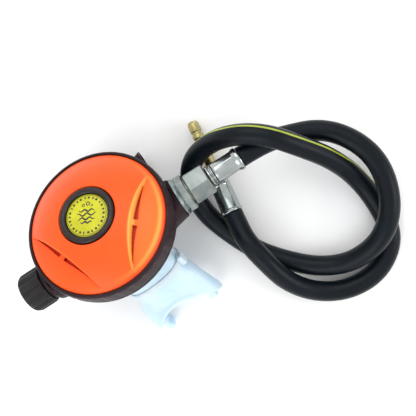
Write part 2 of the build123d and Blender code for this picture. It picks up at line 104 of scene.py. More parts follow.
def surface(name, dark, light, rough=(0.35, 0.5), metal=0.0, grain=900.0, patch=60.0, bump=0.15,
            depth=0.0002, wear=None, stretch=None, coat=0.0, coat_rough=0.2, spec=0.5, scratch=0.0,
            sheen=0.0, ior=1.5):
    """base colour drifts between two tones, roughness and bump follow a fine grain"""
    m, nt, b = nodes_of(name)
    L = nt.links.new
    tc = add(nt, "ShaderNodeTexCoord")
    src = tc.outputs["Object"]
    if stretch:
        mp = add(nt, "ShaderNodeMapping")
        mp.inputs["Scale"].default_value = stretch
        L(src, mp.inputs["Vector"])
        fine_src = mp.outputs["Vector"]
    else:
        fine_src = src
    big = add(nt, "ShaderNodeTexNoise", Scale=patch, Detail=4.0, Roughness=0.6)
    L(src, big.inputs["Vector"])
    fine = add(nt, "ShaderNodeTexNoise", Scale=grain, Detail=3.0, Roughness=0.65)
    L(fine_src, fine.inputs["Vector"])
    ramp = add(nt, "ShaderNodeValToRGB")
    ramp.color_ramp.elements[0].position = 0.32
    ramp.color_ramp.elements[1].position = 0.68
    ramp.color_ramp.elements[0].color = (*dark, 1)
    ramp.color_ramp.elements[1].color = (*light, 1)
    L(big.outputs["Fac"], ramp.inputs["Fac"])
    colour = ramp.outputs["Color"]
    mix = add(nt, "ShaderNodeMix", data_type="RGBA", blend_type="OVERLAY")
    mix.inputs["Factor"].default_value = 0.18
    L(colour, mix.inputs[6])
    L(fine.outputs["Fac"], mix.inputs[7])
    colour = mix.outputs[2]
    if wear:
        geo = add(nt, "ShaderNodeNewGeometry")
        wr = add(nt, "ShaderNodeValToRGB")
        wr.color_ramp.elements[0].position = 0.52
        wr.color_ramp.elements[1].position = 0.6
        L(geo.outputs["Pointiness"], wr.inputs["Fac"])
        wn = add(nt, "ShaderNodeMath", operation="MULTIPLY")
        L(wr.outputs["Color"], wn.inputs[0])
        L(big.outputs["Fac"], wn.inputs[1])
        wm = add(nt, "ShaderNodeMix", data_type="RGBA")
        L(wn.outputs[0], wm.inputs[0])
        L(colour, wm.inputs[6])
        wm.inputs[7].default_value = (*wear, 1)
        colour = wm.outputs[2]
    L(colour, b.inputs["Base Color"])
    rr = add(nt, "ShaderNodeMapRange")
    rr.inputs["From Min"].default_value = 0.3
    rr.inputs["From Max"].default_value = 0.7
    rr.inputs["To Min"].default_value = rough[0]
    rr.inputs["To Max"].default_value = rough[1]
    rmix = add(nt, "ShaderNodeMath", operation="MULTIPLY_ADD")
    rmix.inputs[1].default_value = 0.5
    L(fine.outputs["Fac"], rmix.inputs[0])
    half = add(nt, "ShaderNodeMath", operation="MULTIPLY")
    half.inputs[1].default_value = 0.5
    L(big.outputs["Fac"], half.inputs[0])
    L(half.outputs[0], rmix.inputs[2])
    L(rmix.outputs[0], rr.inputs["Value"])
    L(rr.outputs["Result"], b.inputs["Roughness"])
    height = fine.outputs["Fac"]
    if scratch:
        sm = add(nt, "ShaderNodeMapping")
        sm.inputs["Rotation"].default_value = (0.3, 0.5, 0.9)
        sm.inputs["Scale"].default_value = (60.0, 2400.0, 900.0)
        L(src, sm.inputs["Vector"])
        sn = add(nt, "ShaderNodeTexNoise", Scale=1.0, Detail=2.0)
        L(sm.outputs["Vector"], sn.inputs["Vector"])
        sp = add(nt, "ShaderNodeMapRange")
        sp.inputs["From Min"].default_value = 0.62
        sp.inputs["From Max"].default_value = 0.72
        sp.inputs["To Max"].default_value = scratch
        L(sn.outputs["Fac"], sp.inputs["Value"])
        sa = add(nt, "ShaderNodeMath", operation="SUBTRACT")
        L(height, sa.inputs[0])
        L(sp.outputs["Result"], sa.inputs[1])
        height = sa.outputs[0]
    bp = add(nt, "ShaderNodeBump", Strength=bump, Distance=depth)
    L(height, bp.inputs["Height"])
    L(bp.outputs["Normal"], b.inputs["Normal"])
    b.inputs["Metallic"].default_value = metal
    b.inputs["Specular IOR Level"].default_value = spec
    b.inputs["IOR"].default_value = ior
    b.inputs["Coat Weight"].default_value = coat
    b.inputs["Coat Roughness"].default_value = coat_rough
    b.inputs["Sheen Weight"].default_value = sheen
    return m


M_ORANGE = surface("cover_orange", (0.92, 0.085, 0.006), (0.97, 0.105, 0.009), rough=(0.36, 0.48), grain=2600,
                   patch=35, bump=0.10, depth=0.00015, spec=0.28, scratch=0.2)
M_CASE = surface("case_black", (0.020, 0.0105, 0.013), (0.032, 0.017, 0.0205), rough=(0.36, 0.48), grain=1800,
                 patch=50, bump=0.22, depth=0.0002, wear=(0.085, 0.05, 0.056), spec=0.13)
M_BUTTON = surface("button_black", (0.014, 0.0085, 0.009), (0.026, 0.017, 0.018), rough=(0.26, 0.38), grain=2200,
                   patch=80, bump=0.12, depth=0.00015, wear=(0.05, 0.035, 0.036), spec=0.32)
M_KNOB = surface("knob_black", (0.008, 0.0065, 0.0075), (0.018, 0.0155, 0.017), rough=(0.45, 0.60), grain=2400,
                 patch=90, bump=0.35, depth=0.00025, wear=(0.05, 0.045, 0.048), spec=0.26)
M_LABEL = surface("label_yellow", (0.46, 0.45, 0.006), (0.60, 0.58, 0.012), rough=(0.24, 0.36), grain=1800,
                  patch=120, bump=0.08, depth=0.0001, spec=0.4)
M_PRINT = surface("label_print", (0.020, 0.018, 0.012), (0.05, 0.045, 0.02), rough=(0.4, 0.55), grain=2200,
                  patch=200, bump=0.1, depth=0.0001)
M_INNER = surface("inner_red", (0.34, 0.020, 0.012), (0.50, 0.035, 0.020), rough=(0.5, 0.65), grain=1500,
                  patch=60, bump=0.2, depth=0.0002)
# a brighter copy of inner_red for the sheet behind the vents: painted light where the vents are in shade
M_VENT_LIGHT = surface("vent_red_painted_light", (0.80, 0.035, 0.008), (0.92, 0.055, 0.012), rough=(0.5, 0.65), grain=1500,
                   patch=60, bump=0.2, depth=0.0002)
M_PLATE = surface("plated_brass", (0.17, 0.215, 0.22), (0.28, 0.33, 0.33), rough=(0.28, 0.42), metal=1.0, grain=2800,
                  patch=150, bump=0.12, depth=0.00012, wear=(0.62, 0.52, 0.36), scratch=0.8)
M_BRIGHT = surface("bright_plate", (0.30, 0.34, 0.34), (0.48, 0.52, 0.51), rough=(0.16, 0.28), metal=1.0, grain=2600,
                   patch=60, bump=0.10, depth=0.0001, wear=(0.85, 0.82, 0.74), scratch=0.7)
M_BRASS = surface("tail_brass", (0.30, 0.26, 0.11), (0.50, 0.44, 0.20), rough=(0.24, 0.40), metal=1.0, grain=2400,
                  patch=120, bump=0.14, depth=0.00012, wear=(0.85, 0.80, 0.55), scratch=0.8)
M_STEEL = surface("spring_steel", (0.50, 0.50, 0.50), (0.62, 0.62, 0.61), rough=(0.22, 0.35), metal=1.0, grain=2600,
                  patch=90, bump=0.12, depth=0.0001)
M_HOSE = surface("hose_rubber", (0.0012, 0.0028, 0.0048), (0.0035, 0.0074, 0.0120), rough=(0.28, 0.40), grain=900,
                 patch=40, bump=0.42, depth=0.00035, spec=0.17, scratch=0.2)
M_STRIPE = surface("hose_stripe", (0.27, 0.34, 0.02), (0.40, 0.46, 0.05), rough=(0.40, 0.55), grain=1500,
                   patch=120, bump=0.15, depth=0.0001)
M_SEAL = surface("seal_rubber", (0.010, 0.010, 0.010), (0.020, 0.020, 0.020), rough=(0.4, 0.55), grain=2000,
                 patch=90, bump=0.15, depth=0.0001)
M_SOFT = surface("silicone_inner", (0.16, 0.16, 0.17), (0.24, 0.24, 0.25), rough=(0.4, 0.55), grain=1600,
                 patch=60, bump=0.12, depth=0.0002)


def paint_cover_light(m):
    """painted light on the cover: mix toward a lighter orange where the mesh attributes paint a highlight, and toward
    deep red where they paint shade at the rim
    """
    nt = m.node_tree
    b = next(n for n in nt.nodes if n.type == "BSDF_PRINCIPLED")
    src = b.inputs["Base Color"].links[0].from_socket
    # lighter orange is a painted highlight, deep red is painted shade
    for attr, tone in (("painted_highlight", (1.0, 0.44, 0.085, 1)), ("rim", (0.80, 0.020, 0.004, 1))):
        at_n = add(nt, "ShaderNodeAttribute", attribute_name=attr)
        mx = add(nt, "ShaderNodeMix", data_type="RGBA")
        nt.links.new(at_n.outputs["Fac"], mx.inputs[0])
        nt.links.new(src, mx.inputs[6])
        mx.inputs[7].default_value = tone
        src = mx.outputs[2]
    nt.links.new(src, b.inputs["Base Color"])


paint_cover_light(M_ORANGE)


def silicone(name, tint_a, tint_b, transmission, rough, sub):
    m = surface(name, tint_a, tint_b, rough=rough, grain=1400, patch=70, bump=0.10, depth=0.00025, spec=0.5, ior=1.41)
    b = next(n for n in m.node_tree.nodes if n.type == "BSDF_PRINCIPLED")
    b.inputs["Transmission Weight"].default_value = transmission
    b.inputs["Subsurface Weight"].default_value = sub
    b.inputs["Subsurface Radius"].default_value = (0.9, 1.0, 1.2)
    b.inputs["Subsurface Scale"].default_value = 0.004
    return m


M_SILI = silicone("silicone_clear", (0.56, 0.75, 0.91), (0.68, 0.84, 0.97), 0.06, (0.26, 0.40), 0.30)
M_TIE = silicone("tie_nylon", (0.60, 0.72, 0.80), (0.72, 0.82, 0.88), 0.05, (0.30, 0.42), 0.2)

# ------------------------------------------------------------ mesh helpers
def link(obj):
    bpy.context.scene.collection.objects.link(obj)
    return obj


def mesh_obj(name, verts, faces, mats, frame_m=None, smooth=True, mat_of=None):
    me = bpy.data.meshes.new(name)
    if frame_m is not None:
        verts = [frame_m @ (Vector(v) * S) for v in verts]
    me.from_pydata([tuple(v) for v in verts], [], faces)
    for m in mats:
        me.materials.append(m)
    bm = bmesh.new()
    bm.from_mesh(me)
    bmesh.ops.recalc_face_normals(bm, faces=bm.faces)
    bm.to_mesh(me)
    bm.free()
    for i, p in enumerate(me.polygons):
        p.use_smooth = smooth
        if mat_of:
            p.material_index = mat_of(i)
    me.update()
    return link(bpy.data.objects.new(name, me))


def rings_mesh(rings, closed=False, cap=(False, False)):
    """faces between successive rings of equal count; cap ends as fans when asked"""
    verts = [v for r in rings for v in r]
    n = len(rings[0])
    faces = []
    count = len(rings)
    for i in range(count if closed else count - 1):
        a, b = i * n, ((i + 1) % count) * n
        for j in range(n):
            k = (j + 1) % n
            faces.append((a + j, a + k, b + k, b + j))
    for end, do in ((0, cap[0]), (count - 1, cap[1])):
        if do:
            verts.append(sum((Vector(v) for v in rings[end]), Vector()) / n)
            c = len(verts) - 1
            for j in range(n):
                faces.append((end * n + j, end * n + (j + 1) % n, c))
    return verts, faces


def soften(pts, r=0.3, steps=3):
    """round every corner of an open (radius, height) profile by a small arc"""
    out = [pts[0]]
    for i in range(1, len(pts) - 1):
        p, a, b = Vector(pts[i]), Vector(pts[i - 1]), Vector(pts[i + 1])
        u, v = (a - p), (b - p)
        if u.length < 1e-6 or v.length < 1e-6:
            continue
        d = min(r, u.length * 0.45, v.length * 0.45)
        s, e = p + u.normalized() * d, p + v.normalized() * d
        for k in range(steps + 1):
            t = k / steps
            q = s * (1 - t) ** 2 + p * 2 * t * (1 - t) + e * t ** 2
            out.append((q.x, q.y))
    out.append(pts[-1])
    return out


def lathe(name, pts, mats, frame_m, segs=96, rad=None, cap=(False, False), closed=False, round_r=0.3, mat_of=None):
    """pts are (radius, height); rad(radius, height, angle) may shape the radius"""
    pts = soften(pts, round_r) if round_r else pts
    rings = []
    for r, z in pts:
        ring = []
        for j in range(segs):
            a = 2 * math.pi * j / segs
            rr = rad(r, z, a) if rad else r
            ring.append((rr * math.cos(a), rr * math.sin(a), z))
        rings.append(ring)
    v, f = rings_mesh(rings, closed=closed, cap=cap)
    return mesh_obj(name, v, f, mats, frame_m, mat_of=mat_of)


def bevel(obj, width, segs=3, angle=35):
    m = obj.modifiers.new("soft_edges", "BEVEL")
    m.width = width
    m.segments = segs
    m.limit_method = "ANGLE"
    m.angle_limit = math.radians(angle)
    m.harden_normals = False
    return obj


def apply_mods(obj):
    dg = bpy.context.evaluated_depsgraph_get()
    me = bpy.data.meshes.new_from_object(obj.evaluated_get(dg))
    obj.modifiers.clear()
    obj.data = me
    return obj


# ------------------------------------------------------------------- hose
ROUTE = [
    (71.56, 7.15, 33.36), (83.46, 7.09, 31.84), (97.55, 4.10, 24.00),
    (118.54, -4.53, 18.80), (131.06, -22.55, 19.77), (133.83, -41.63, 20.62),
    (126.25, -62.77, 20.52), (111.72, -75.80, 19.06), (91.47, -79.65, 10.67),
    (73.17, -73.19, 6.10), (57.43, -58.51, 6.23), (45.41, -43.01, 6.18),
    (36.67, -23.13, 6.18), (32.53, -7.97, 7.81), (33.83, 8.53, 11.41),
    (43.23, 21.33, 17.01), (58.52, 24.36, 27.00), (75.55, 19.90, 41.00),
    (91.22, 9.27, 44.00), (103.28, -6.68, 34.50), (113.32, -21.73, 22.00),
    (119.43, -38.63, 10.14), (121.15, -59.27, 6.18), (118.37, -79.97, 6.18),
    (101.02, -93.10, 6.18), (80.47, -93.56, 6.28), (63.23, -84.37, 8.41),
    (52.63, -68.97, 14.81), (49.43, -51.97, 21.01), (46.63, -36.07, 20.61),
    (46.55, -26.60, 16.23), (47.87, -16.82, 14.61),
]
TAIL_TIP = (55.78, 41.88, 4.91)
HOSE_R = 6.0

line = bpy.data.curves.new("hose_line", "CURVE")
line.dimensions = "3D"
sp = line.splines.new("NURBS")
sp.points.add(len(ROUTE) - 1)
for p, q in zip(sp.points, ROUTE):
    p.co = (q[0] * S, q[1] * S, q[2] * S, 1)
sp.order_u = 3
sp.use_endpoint_u = True
sp.resolution_u = 14
line_obj = link(bpy.data.objects.new("hose_line", line))
dg = bpy.context.evaluated_depsgraph_get()
path_me = bpy.data.meshes.new_from_object(line_obj.evaluated_get(dg))
PATH = [v.co.copy() for v in path_me.vertices]
bpy.data.objects.remove(line_obj)
bpy.data.curves.remove(line)
bpy.data.meshes.remove(path_me)

arc = [0.0]
for a, b in zip(PATH, PATH[1:]):
    arc.append(arc[-1] + (b - a).length / S)

# side of the hose that the moulded stripe is on: degrees above its left side
STRIPE = [(0, -75), (150, -80), (230, -60), (285, -10), (300, 18), (325, 38), (350, 46), (385, 38), (410, 18),
          (430, 8), (455, 2), (480, -14), (515, -22), (545, -4), (565, 10), (600, 16)]


def table(t, x):
    for (x0, y0), (x1, y1) in zip(t, t[1:]):
        if x <= x1:
            k = (x - x0) / (x1 - x0)
            k = k * k * (3 - 2 * k)
            return y0 + (y1 - y0) * k
    return t[-1][1]


def tangent(i):
    a, b = PATH[max(0, i - 1)], PATH[min(len(PATH) - 1, i + 1)]
    return (b - a).normalized()


SEG = 56
hose_rings = []
for i, p in enumerate(PATH):
    t = tangent(i)
    if i == 0:
        t = (Vector(ROUTE[1]) - Vector(ROUTE[0])).normalized()
    if i == len(PATH) - 1:
        t = (Vector(ROUTE[-1]) - Vector(ROUTE[-2])).normalized()
    side = Vector((0, 0, 1)).cross(t).normalized()
    top = t.cross(side).normalized()
    phi = math.radians(table(STRIPE, arc[i]))
    ring = []
    for j in range(SEG):
        a = phi + 2 * math.pi * j / SEG
        wob = 1.0 + 0.004 * noise.noise(Vector((arc[i] * 0.03, math.cos(a) * 1.3, math.sin(a) * 1.3)))
        r = HOSE_R * wob
        ring.append(p + (side * math.cos(a) + top * math.sin(a)) * r * S)
    hose_rings.append(ring)
hv, hf = rings_mesh(hose_rings, cap=(True, True))


def hose_mat(i):
    if i >= (len(PATH) - 1) * SEG:
        return 0
    return 1 if (i % SEG) in (0, SEG - 1) else 0


hose = mesh_obj("hose_tube", hv, hf, [M_HOSE, M_STRIPE], mat_of=hose_mat)
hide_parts("hose")
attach(hose, "case")

# --------------------------------------------------------- hose's far end
END = Vector(ROUTE[-1])
TIP = Vector(TAIL_TIP)
tdir = (TIP - END).normalized()
TL = (TIP - END).length
tx = Vector((0, 0, 1)).cross(tdir).normalized()
FAR = basis(END * S, tx, tdir.cross(tx), tdir)


def crimp(lo_z, hi_z, lobes, depth, r0):
    """flats pressed into a ferrule between two heights"""
    def f(r, z, a):
        if r < r0 - 0.5 or not lo_z < z < hi_z:
            return r
        k = min(1.0, (z - lo_z) / 0.8, (hi_z - z) / 0.8)
        flat = r * (math.cos(math.pi / lobes) / math.cos((a % (2 * math.pi / lobes)) - math.pi / lobes))
        return r + (flat - r) * k - depth * k
    return f


outlet = lathe("outlet_sleeve", [
    (2.2, 0.02), (6.0, 0.02), (6.5, 0.3), (6.55, 1.6), (6.25, 2.2), (6.15, 9.0), (6.15, 16.8), (6.3, 17.4), (6.3, 18.4), (5.6, 19.5), (2.2, 19.6)],
    [M_BRIGHT], FAR, segs=96, rad=crimp(2.4, 17.0, 8, 0.0, 6.2), closed=True, round_r=0.25)
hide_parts("outlet_ferrule")
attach(outlet, "case")

L = TL
tail = lathe("barbed_tail", [
    (1.6, 22.0), (2.0, 19.9), (4.6, 19.9), (4.6, 22.8), (4.7, 30.8), (3.6, 31.3), (3.3, L - 15.0), (2.8, L - 14.4), (2.8, L - 12.0),
    (3.4, L - 10.8), (3.4, L - 8.4), (2.9, L - 8.0), (2.9, L - 6.8), (3.5, L - 6.4), (3.5, L - 1.6), (2.8, L), (1.7, L), (1.6, L - 1.0)],
    [M_BRASS], FAR, segs=64, closed=True, round_r=0.22)
hexr = []
for z, k in ((23.4, 0.93), (24.0, 1.0), (29.8, 1.0), (30.4, 0.93)):
    hexr.append([(5.6 / math.cos(math.pi / 6) * k * math.cos(math.pi / 3 * j), 5.6 / math.cos(math.pi / 6) * k * math.sin(math.pi / 3 * j), z) for j in range(6)])
v, f = rings_mesh(hexr, cap=(True, True))
tail_hex = mesh_obj("tail_hexagon", v, f, [M_BRASS], FAR, smooth=False)
bevel(tail_hex, 0.00025)
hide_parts("barbed_fitting")
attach(tail, "case")
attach(tail_hex, "case")

# ------------------------------------------------------------ front cover
CR = 39.8


def circle3(p, q, s):
    """centre and radius of the circle through three points"""
    ax, ay, bx, by, cx, cy = *p, *q, *s
    d = 2 * (ax * (by - cy) + bx * (cy - ay) + cx * (ay - by))
    ux = ((ax * ax + ay * ay) * (by - cy) + (bx * bx + by * by) * (cy - ay) + (cx * cx + cy * cy) * (ay - by)) / d
    uy = ((ax * ax + ay * ay) * (cx - bx) + (bx * bx + by * by) * (ax - cx) + (cx * cx + cy * cy) * (bx - ax)) / d
    return ux, uy, math.hypot(ax - ux, ay - uy)


DCX, DCY, DCR = circle3((39.8, 0.0), (30.2, 7.6), (17.4, 13.1))


def dome(r):
    """height of the smooth cover at radius r"""
    return DCY + math.sqrt(max(0.0, DCR * DCR - (r - DCX) ** 2)) if DCY < 0 else DCY - math.sqrt(max(0.0, DCR * DCR - (r - DCX) ** 2))


MIDS = (math.radians(-36.0), math.radians(-155.5))
VMAX, CREASE = 27.0, 37.6


def ridge_u(v):
    return 24.2 + 2.6 * (v / VMAX) ** 2


def wing(theta):
    """(ridge radius, v at ridge) of the crescent that this direction crosses, or none"""
    for mid in MIDS:
        d = (theta - mid + math.pi) % (2 * math.pi) - math.pi
        if abs(d) < math.radians(50):
            c, s = math.cos(d), math.sin(d)
            r = 24.0
            for _ in range(12):
                r = ridge_u(r * s) / c
            if r < CREASE - 0.05 and abs(r * s) < VMAX:
                return r, r * s
    return None


NT = 720
N_IN, N_OUT = 16, 18
slot_flags = []
rings = []


def slot_width(v):
    """how far the vent reaches out from the ridge"""
    a = abs(v + 1.2)
    if a < 1.4 or a > 21.5:
        return 0.0
    return 0.3 + 2.1 * (1 - (a - 1.4) / 20.1) ** 0.85


cols = []
for j in range(NT):
    th = 2 * math.pi * j / NT
    w = wing(th)
    if w:
        rr, v = w
        D = 4.5 * max(0.0, 1 - (v / VMAX) ** 2) ** 0.7
        sw = slot_width(v)
    else:
        rr, v, D, sw = CREASE, VMAX, 0.0, 0.0
    col = []
    # hole lip, from inside the button hole up over its edge
    for r, z in ((17.2, 8.2), (16.15, 8.2), (16.15, 12.2), (16.3, 12.85), (16.75, 13.16), (17.4, dome(17.4))):
        col.append((r, z))
    for k in range(1, N_IN + 1):
        r = 17.4 + (rr - 0.45 - 17.4) * k / N_IN
        col.append((r, dome(r)))
    edge = min(1.0, D / 1.2)
    col.append((rr - 0.15, dome(rr - 0.15) + 0.02 * edge))
    col.append((rr, dome(rr) - 0.16 * edge))
    col.append((rr + 0.05, dome(rr) - 0.5 * D))
    col.append((rr + 0.12, dome(rr + 0.12) - D))
    span = max(0.3, CREASE - rr)

    def floor_z(r):
        s = min(1.0, max(0.0, (r - rr) / span))
        return dome(r) - D * (1 - s) ** 1.15

    sr = rr + max(0.5, sw)
    sr = min(sr, CREASE - 0.02) if span > 0.35 else rr + 0.15
    col.append((sr, floor_z(sr)))
    slot_flags.append(sw > 0)
    for k in range(1, N_OUT + 1):
        r = sr + (CREASE - sr) * k / N_OUT if sr < CREASE else sr + 0.001 * k
        col.append((r, floor_z(r)))
    for r, z in ((38.1, dome(38.1)), (38.9, dome(38.9)), (39.4, dome(39.4) - 0.02), (39.72, -0.1), (39.8, -0.6), (39.8, -2.3), (38.9, -2.5)):
        col.append((r, z))
    cols.append([(r * math.cos(th), r * math.sin(th), z) for r, z in col])
NR = len(cols[0])
verts = [p for c in cols for p in c]
faces = []
I_SLOT = 6 + N_IN + 3      # row of the wall's foot
for j in range(NT):
    k = (j + 1) % NT
    for i in range(NR - 1):
        if i == I_SLOT and slot_flags[j] and slot_flags[k]:
            continue
        faces.append((j * NR + i, k * NR + i, k * NR + i + 1, j * NR + i + 1))
cover = mesh_obj("cover_shell", verts, faces, [M_ORANGE], REG)
# painted light on the cover's mesh: a painted highlight along the ridge walls, strongest on the right crescent facing
# the light, a lighter floor in that crescent and a highlight along the right crease; painted shade deepens the right
# rim to red
painted_highlight_v, painted_rim_shade_v = [], []
for j in range(NT):
    th = 2 * math.pi * j / NT
    w = wing(th)
    for x, y, z in cols[j]:
        r = math.hypot(x, y)
        g = 0.0
        right_side = max(0.0, math.cos(th - math.radians(-36.0)))
        if w:
            fade = max(0.0, 1 - (w[1] / VMAX) ** 2) ** 0.35
            near = abs(th - 2 * math.pi - MIDS[0]) < 0.95 or abs(th - MIDS[0]) < 0.95
            d = r - w[0]
            side = 0.9 if near else 0.12
            g += side * fade * math.exp(-(max(0.0, abs(d + 0.15) - 0.25) / 0.55) ** 2)
            if d > 0.3 and near:
                g += 0.16 * fade
        g += 0.62 * right_side ** 3 * math.exp(-((r - 37.4) / 0.9) ** 2)
        painted_highlight_v.append(min(0.92, g))
        k = min(1.0, max(0.0, (r - 38.0) / 1.2))
        painted_rim_shade_v.append(0.75 * k * right_side ** 2)
for nm, vals in (("painted_highlight", painted_highlight_v), ("rim", painted_rim_shade_v)):
    at_m = cover.data.attributes.new(nm, "FLOAT", "POINT")
    at_m.data.foreach_set("value", vals)
so = cover.modifiers.new("wall", "SOLIDIFY")
so.thickness = 0.0016
so.offset = -1.0
so.use_rim = True
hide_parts("front_cover")
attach(cover, "case")

# ------------------------------------------------------------ case under the ring
OUTER = ((-10.4, 41.4), (-11.0, 41.8), (-20.5, 41.8), (-25.0, 40.6), (-31.0, 36.5), (-37.3, 29.5), (-42.2, 21.5), (-43.0, 19.0))
TUCK = ((-10.4, 41.4), (-11.0, 41.8), (-12.6, 41.6), (-18.0, 38.4), (-20.5, 36.8), (-25.0, 34.0), (-31.0, 30.3), (-37.3, 26.0),
        (-42.2, 21.0), (-43.0, 19.0))


def down(t, z):
    for (z0, r0), (z1, r1) in zip(t, t[1:]):
        if z >= z1:
            return r0 + (r1 - r0) * (z - z0) / (z1 - z0)
    return t[-1][1]


def waist(r, z, a):
    """the case draws in below the ring, except round the exhaust"""
    if r < 30 and z > -10.5 or r < 18:
        return r
    d = abs((a - math.radians(-66) + math.pi) % (2 * math.pi) - math.pi)
    k = 1 - min(1.0, max(0.0, (d - math.radians(98)) / math.radians(30)))
    k = k * k * (3 - 2 * k)
    return r + (down(TUCK, z) - down(OUTER, z)) * k


case_pts = [(33.0, -8.6), (37.6, -8.6), (37.6, -7.0), (40.8, -7.0), (40.8, -10.3), (41.3, -10.45), (41.75, -11.0)]
case_pts += [(down(OUTER, z), z) for z in (-12.6, -14.5, -16.5, -18.5, -20.5, -23.0, -25.0, -27.0, -29.0, -31.0, -33.0, -35.0, -37.3, -39.8, -41.6)]
case_pts += [(20.9, -42.4), (19.0, -42.95), (12.0, -43.0), (0.01, -43.0)]
case_body = lathe("case_body", case_pts, [M_CASE], REG, segs=192, rad=waist, round_r=0.5)
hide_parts("case_shell")


def level(r, z, a):
    """the bosses stop under the ring"""
    top = math.sin(a)
    return min(r, 7.5 / top) if top > 0.05 and r * top > 7.5 else r


boss_a = lathe("boss_inlet", [(7.1, 26.0), (15.0, 26.0), (14.6, 31.0), (13.3, 36.0), (12.3, 41.0), (12.0, 42.8), (11.6, 43.3), (7.1, 43.3)], [M_CASE], BAR, segs=128,
               rad=level, closed=True, round_r=0.3)
boss_b = lathe("boss_knob", [(7.1, -26.0), (14.6, -26.0), (14.4, -31.0), (13.6, -36.0), (12.8, -41.0), (12.4, -42.6), (11.8, -43.0), (7.1, -43.0)], [M_CASE], BAR,
               segs=128, rad=level, closed=True, round_r=0.3)
shroud = lathe("gland_collar", [(9.5, -43.1), (10.4, -43.1), (10.5, -43.6), (10.45, -44.9), (10.1, -45.3), (7.2, -45.35), (7.2, -44.75), (9.5, -44.7)],
               [M_CASE], BAR, segs=128, closed=True, round_r=0.15)
_sz = (UY * 0.5 - UZ * 0.866).normalized()
SEAT = basis(at(0, 17, -35.0), UX, _sz.cross(UX), _sz)
seat = lathe("exhaust_seat", [(11.0, -3.0), (14.9, -3.0), (14.9, 8.6), (14.5, 9.0), (11.4, 9.0), (11.0, 8.6)], [M_CASE], SEAT, segs=96, closed=True, round_r=0.2)
for o in (case_body, boss_a, boss_b, shroud, seat):
    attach(o, "case")

# red sheet behind the crescent vents, a brighter red than inner_red: painted light inside the vents
baffle = lathe("vent_baffle", [(19.4, 4.3), (24.0, 3.9), (30.0, 2.4), (35.2, -0.8), (35.2, -1.4), (30.0, 1.7), (24.0, 3.2), (19.4, 3.6)], [M_VENT_LIGHT], REG,
               segs=128, closed=True, round_r=0.2)
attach(baffle, "case")

# ------------------------------------------------- ring, button and label
def grip(r, z, a):
    if r < 41.8 or z > -0.9:
        return r
    k = min(1.0, (-0.9 - z) / 1.2)
    return r - k * 0.3 * (0.5 - 0.5 * math.cos(a * 30)) ** 4


ring = lathe("ring_body", [
    (41.15, -10.1), (41.6, -10.1), (42.1, -9.4), (42.2, -8.0), (42.2, -4.0), (42.15, -1.6), (41.95, -0.4), (41.5, 0.3), (40.9, 0.58),
    (40.3, 0.55), (40.02, 0.2), (40.0, -2.1), (41.15, -2.2)], [M_CASE], REG, segs=480, rad=grip, closed=True, round_r=0.25)
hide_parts("retaining_ring")
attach(ring, "case")

button = lathe("button_body", [
    (0.01, 11.5), (11.9, 11.5), (12.15, 11.8), (12.35, 13.2), (12.9, 13.8), (13.8, 14.0), (14.8, 13.85), (15.5, 13.3), (15.7, 12.4),
    (15.7, 7.5), (17.0, 7.3), (17.0, 6.1), (14.2, 6.1), (14.2, 10.0), (3.0, 10.2), (3.0, -4.5), (0.01, -4.6)],
    [M_BUTTON], REG, segs=128, round_r=0.18)
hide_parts("purge_button")
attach(button, "button")

label = lathe("label_disc", [(0.01, 12.88), (6.0, 12.84), (11.2, 12.7), (11.8, 12.5), (11.95, 12.1), (11.95, 11.6)], [M_LABEL], REG, segs=128,
              round_r=0.1, cap=(True, False))
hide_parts("purge_label")
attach(label, "button")

# print on the label: a plain dashed ring, a thin outer ring, four waves and three small rings
pv, pf = [], []


def lab_z(r):
    return 12.90 - 0.18 * (r / 11.2) ** 2 + 0.02


def arc_bar(r0, r1, a0, a1, n=8):
    base = len(pv)
    for k in range(n + 1):
        a = math.radians(a0 + (a1 - a0) * k / n)
        for r in (r0, r1):
            pv.append((r * math.cos(a), r * math.sin(a), lab_z(r)))
    for k in range(n):
        pf.append((base + 2 * k, base + 2 * k + 1, base + 2 * k + 3, base + 2 * k + 2))


def ribbon(pts, w, taper=False):
    base = len(pv)
    n = len(pts)
    for i, (x, y) in enumerate(pts):
        ax, ay = pts[max(0, i - 1)]
        bx, by = pts[min(n - 1, i + 1)]
        dx, dy = bx - ax, by - ay
        l = math.hypot(dx, dy) or 1
        ww = w * (math.sin(math.pi * (i + 0.6) / (n + 0.2)) ** 0.5 if taper else 1)
        for s in (-0.5, 0.5):
            px, py = x - dy / l * ww * s, y + dx / l * ww * s
            pv.append((px, py, lab_z(math.hypot(px, py))))
    for k in range(n - 1):
        pf.append((base + 2 * k, base + 2 * k + 1, base + 2 * k + 3, base + 2 * k + 2))


for k in range(26):
    a = 12 + k * 360 / 26
    long = (5.2, 7.6, 4.0, 6.6)[(k * 7) % 4]
    arc_bar(9.2, 10.4, a, a + long)
arc_bar(11.05, 11.25, 0, 360, 96)
for row, amp, half_len in ((2.6, 0.55, 4.6), (0.4, 0.7, 5.6), (-1.9, 0.6, 4.9), (-4.0, 0.45, 3.4)):
    ribbon([(-half_len + 2 * half_len * i / 30, row + amp * math.sin(i / 30 * 4.5 * math.pi + row)) for i in range(31)], 0.95, taper=True)
for cx, cy, rad in ((-2.0, 5.6, 0.9), (0.6, 6.4, 1.2), (2.9, 5.3, 0.7)):
    base = len(pv)
    for k in range(20):
        a = 2 * math.pi * k / 20
        for r in (rad, rad * 0.55):
            pv.append((cx + r * math.cos(a), cy + r * math.sin(a), lab_z(math.hypot(cx, cy))))
    for k in range(20):
        q = (k + 1) % 20
        pf.append((base + 2 * k, base + 2 * k + 1, base + 2 * q + 1, base + 2 * q))
art = mesh_obj("label_print", pv, pf, [M_PRINT], REG @ Matrix.Rotation(math.radians(-28), 4, "Z"))
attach(art, "button")

# --------------------------------------------------------- adjusting knob
def flutes(r, z, a):
    if r < 10.3:
        return r
    k = min(1.0, max(0.0, (z + 58.6) / 1.4), max(0.0, (-46.0 - z) / 1.2))
    c = 0.5 - 0.5 * math.cos(a * 12)
    return r - k * 1.05 * c ** 2.2


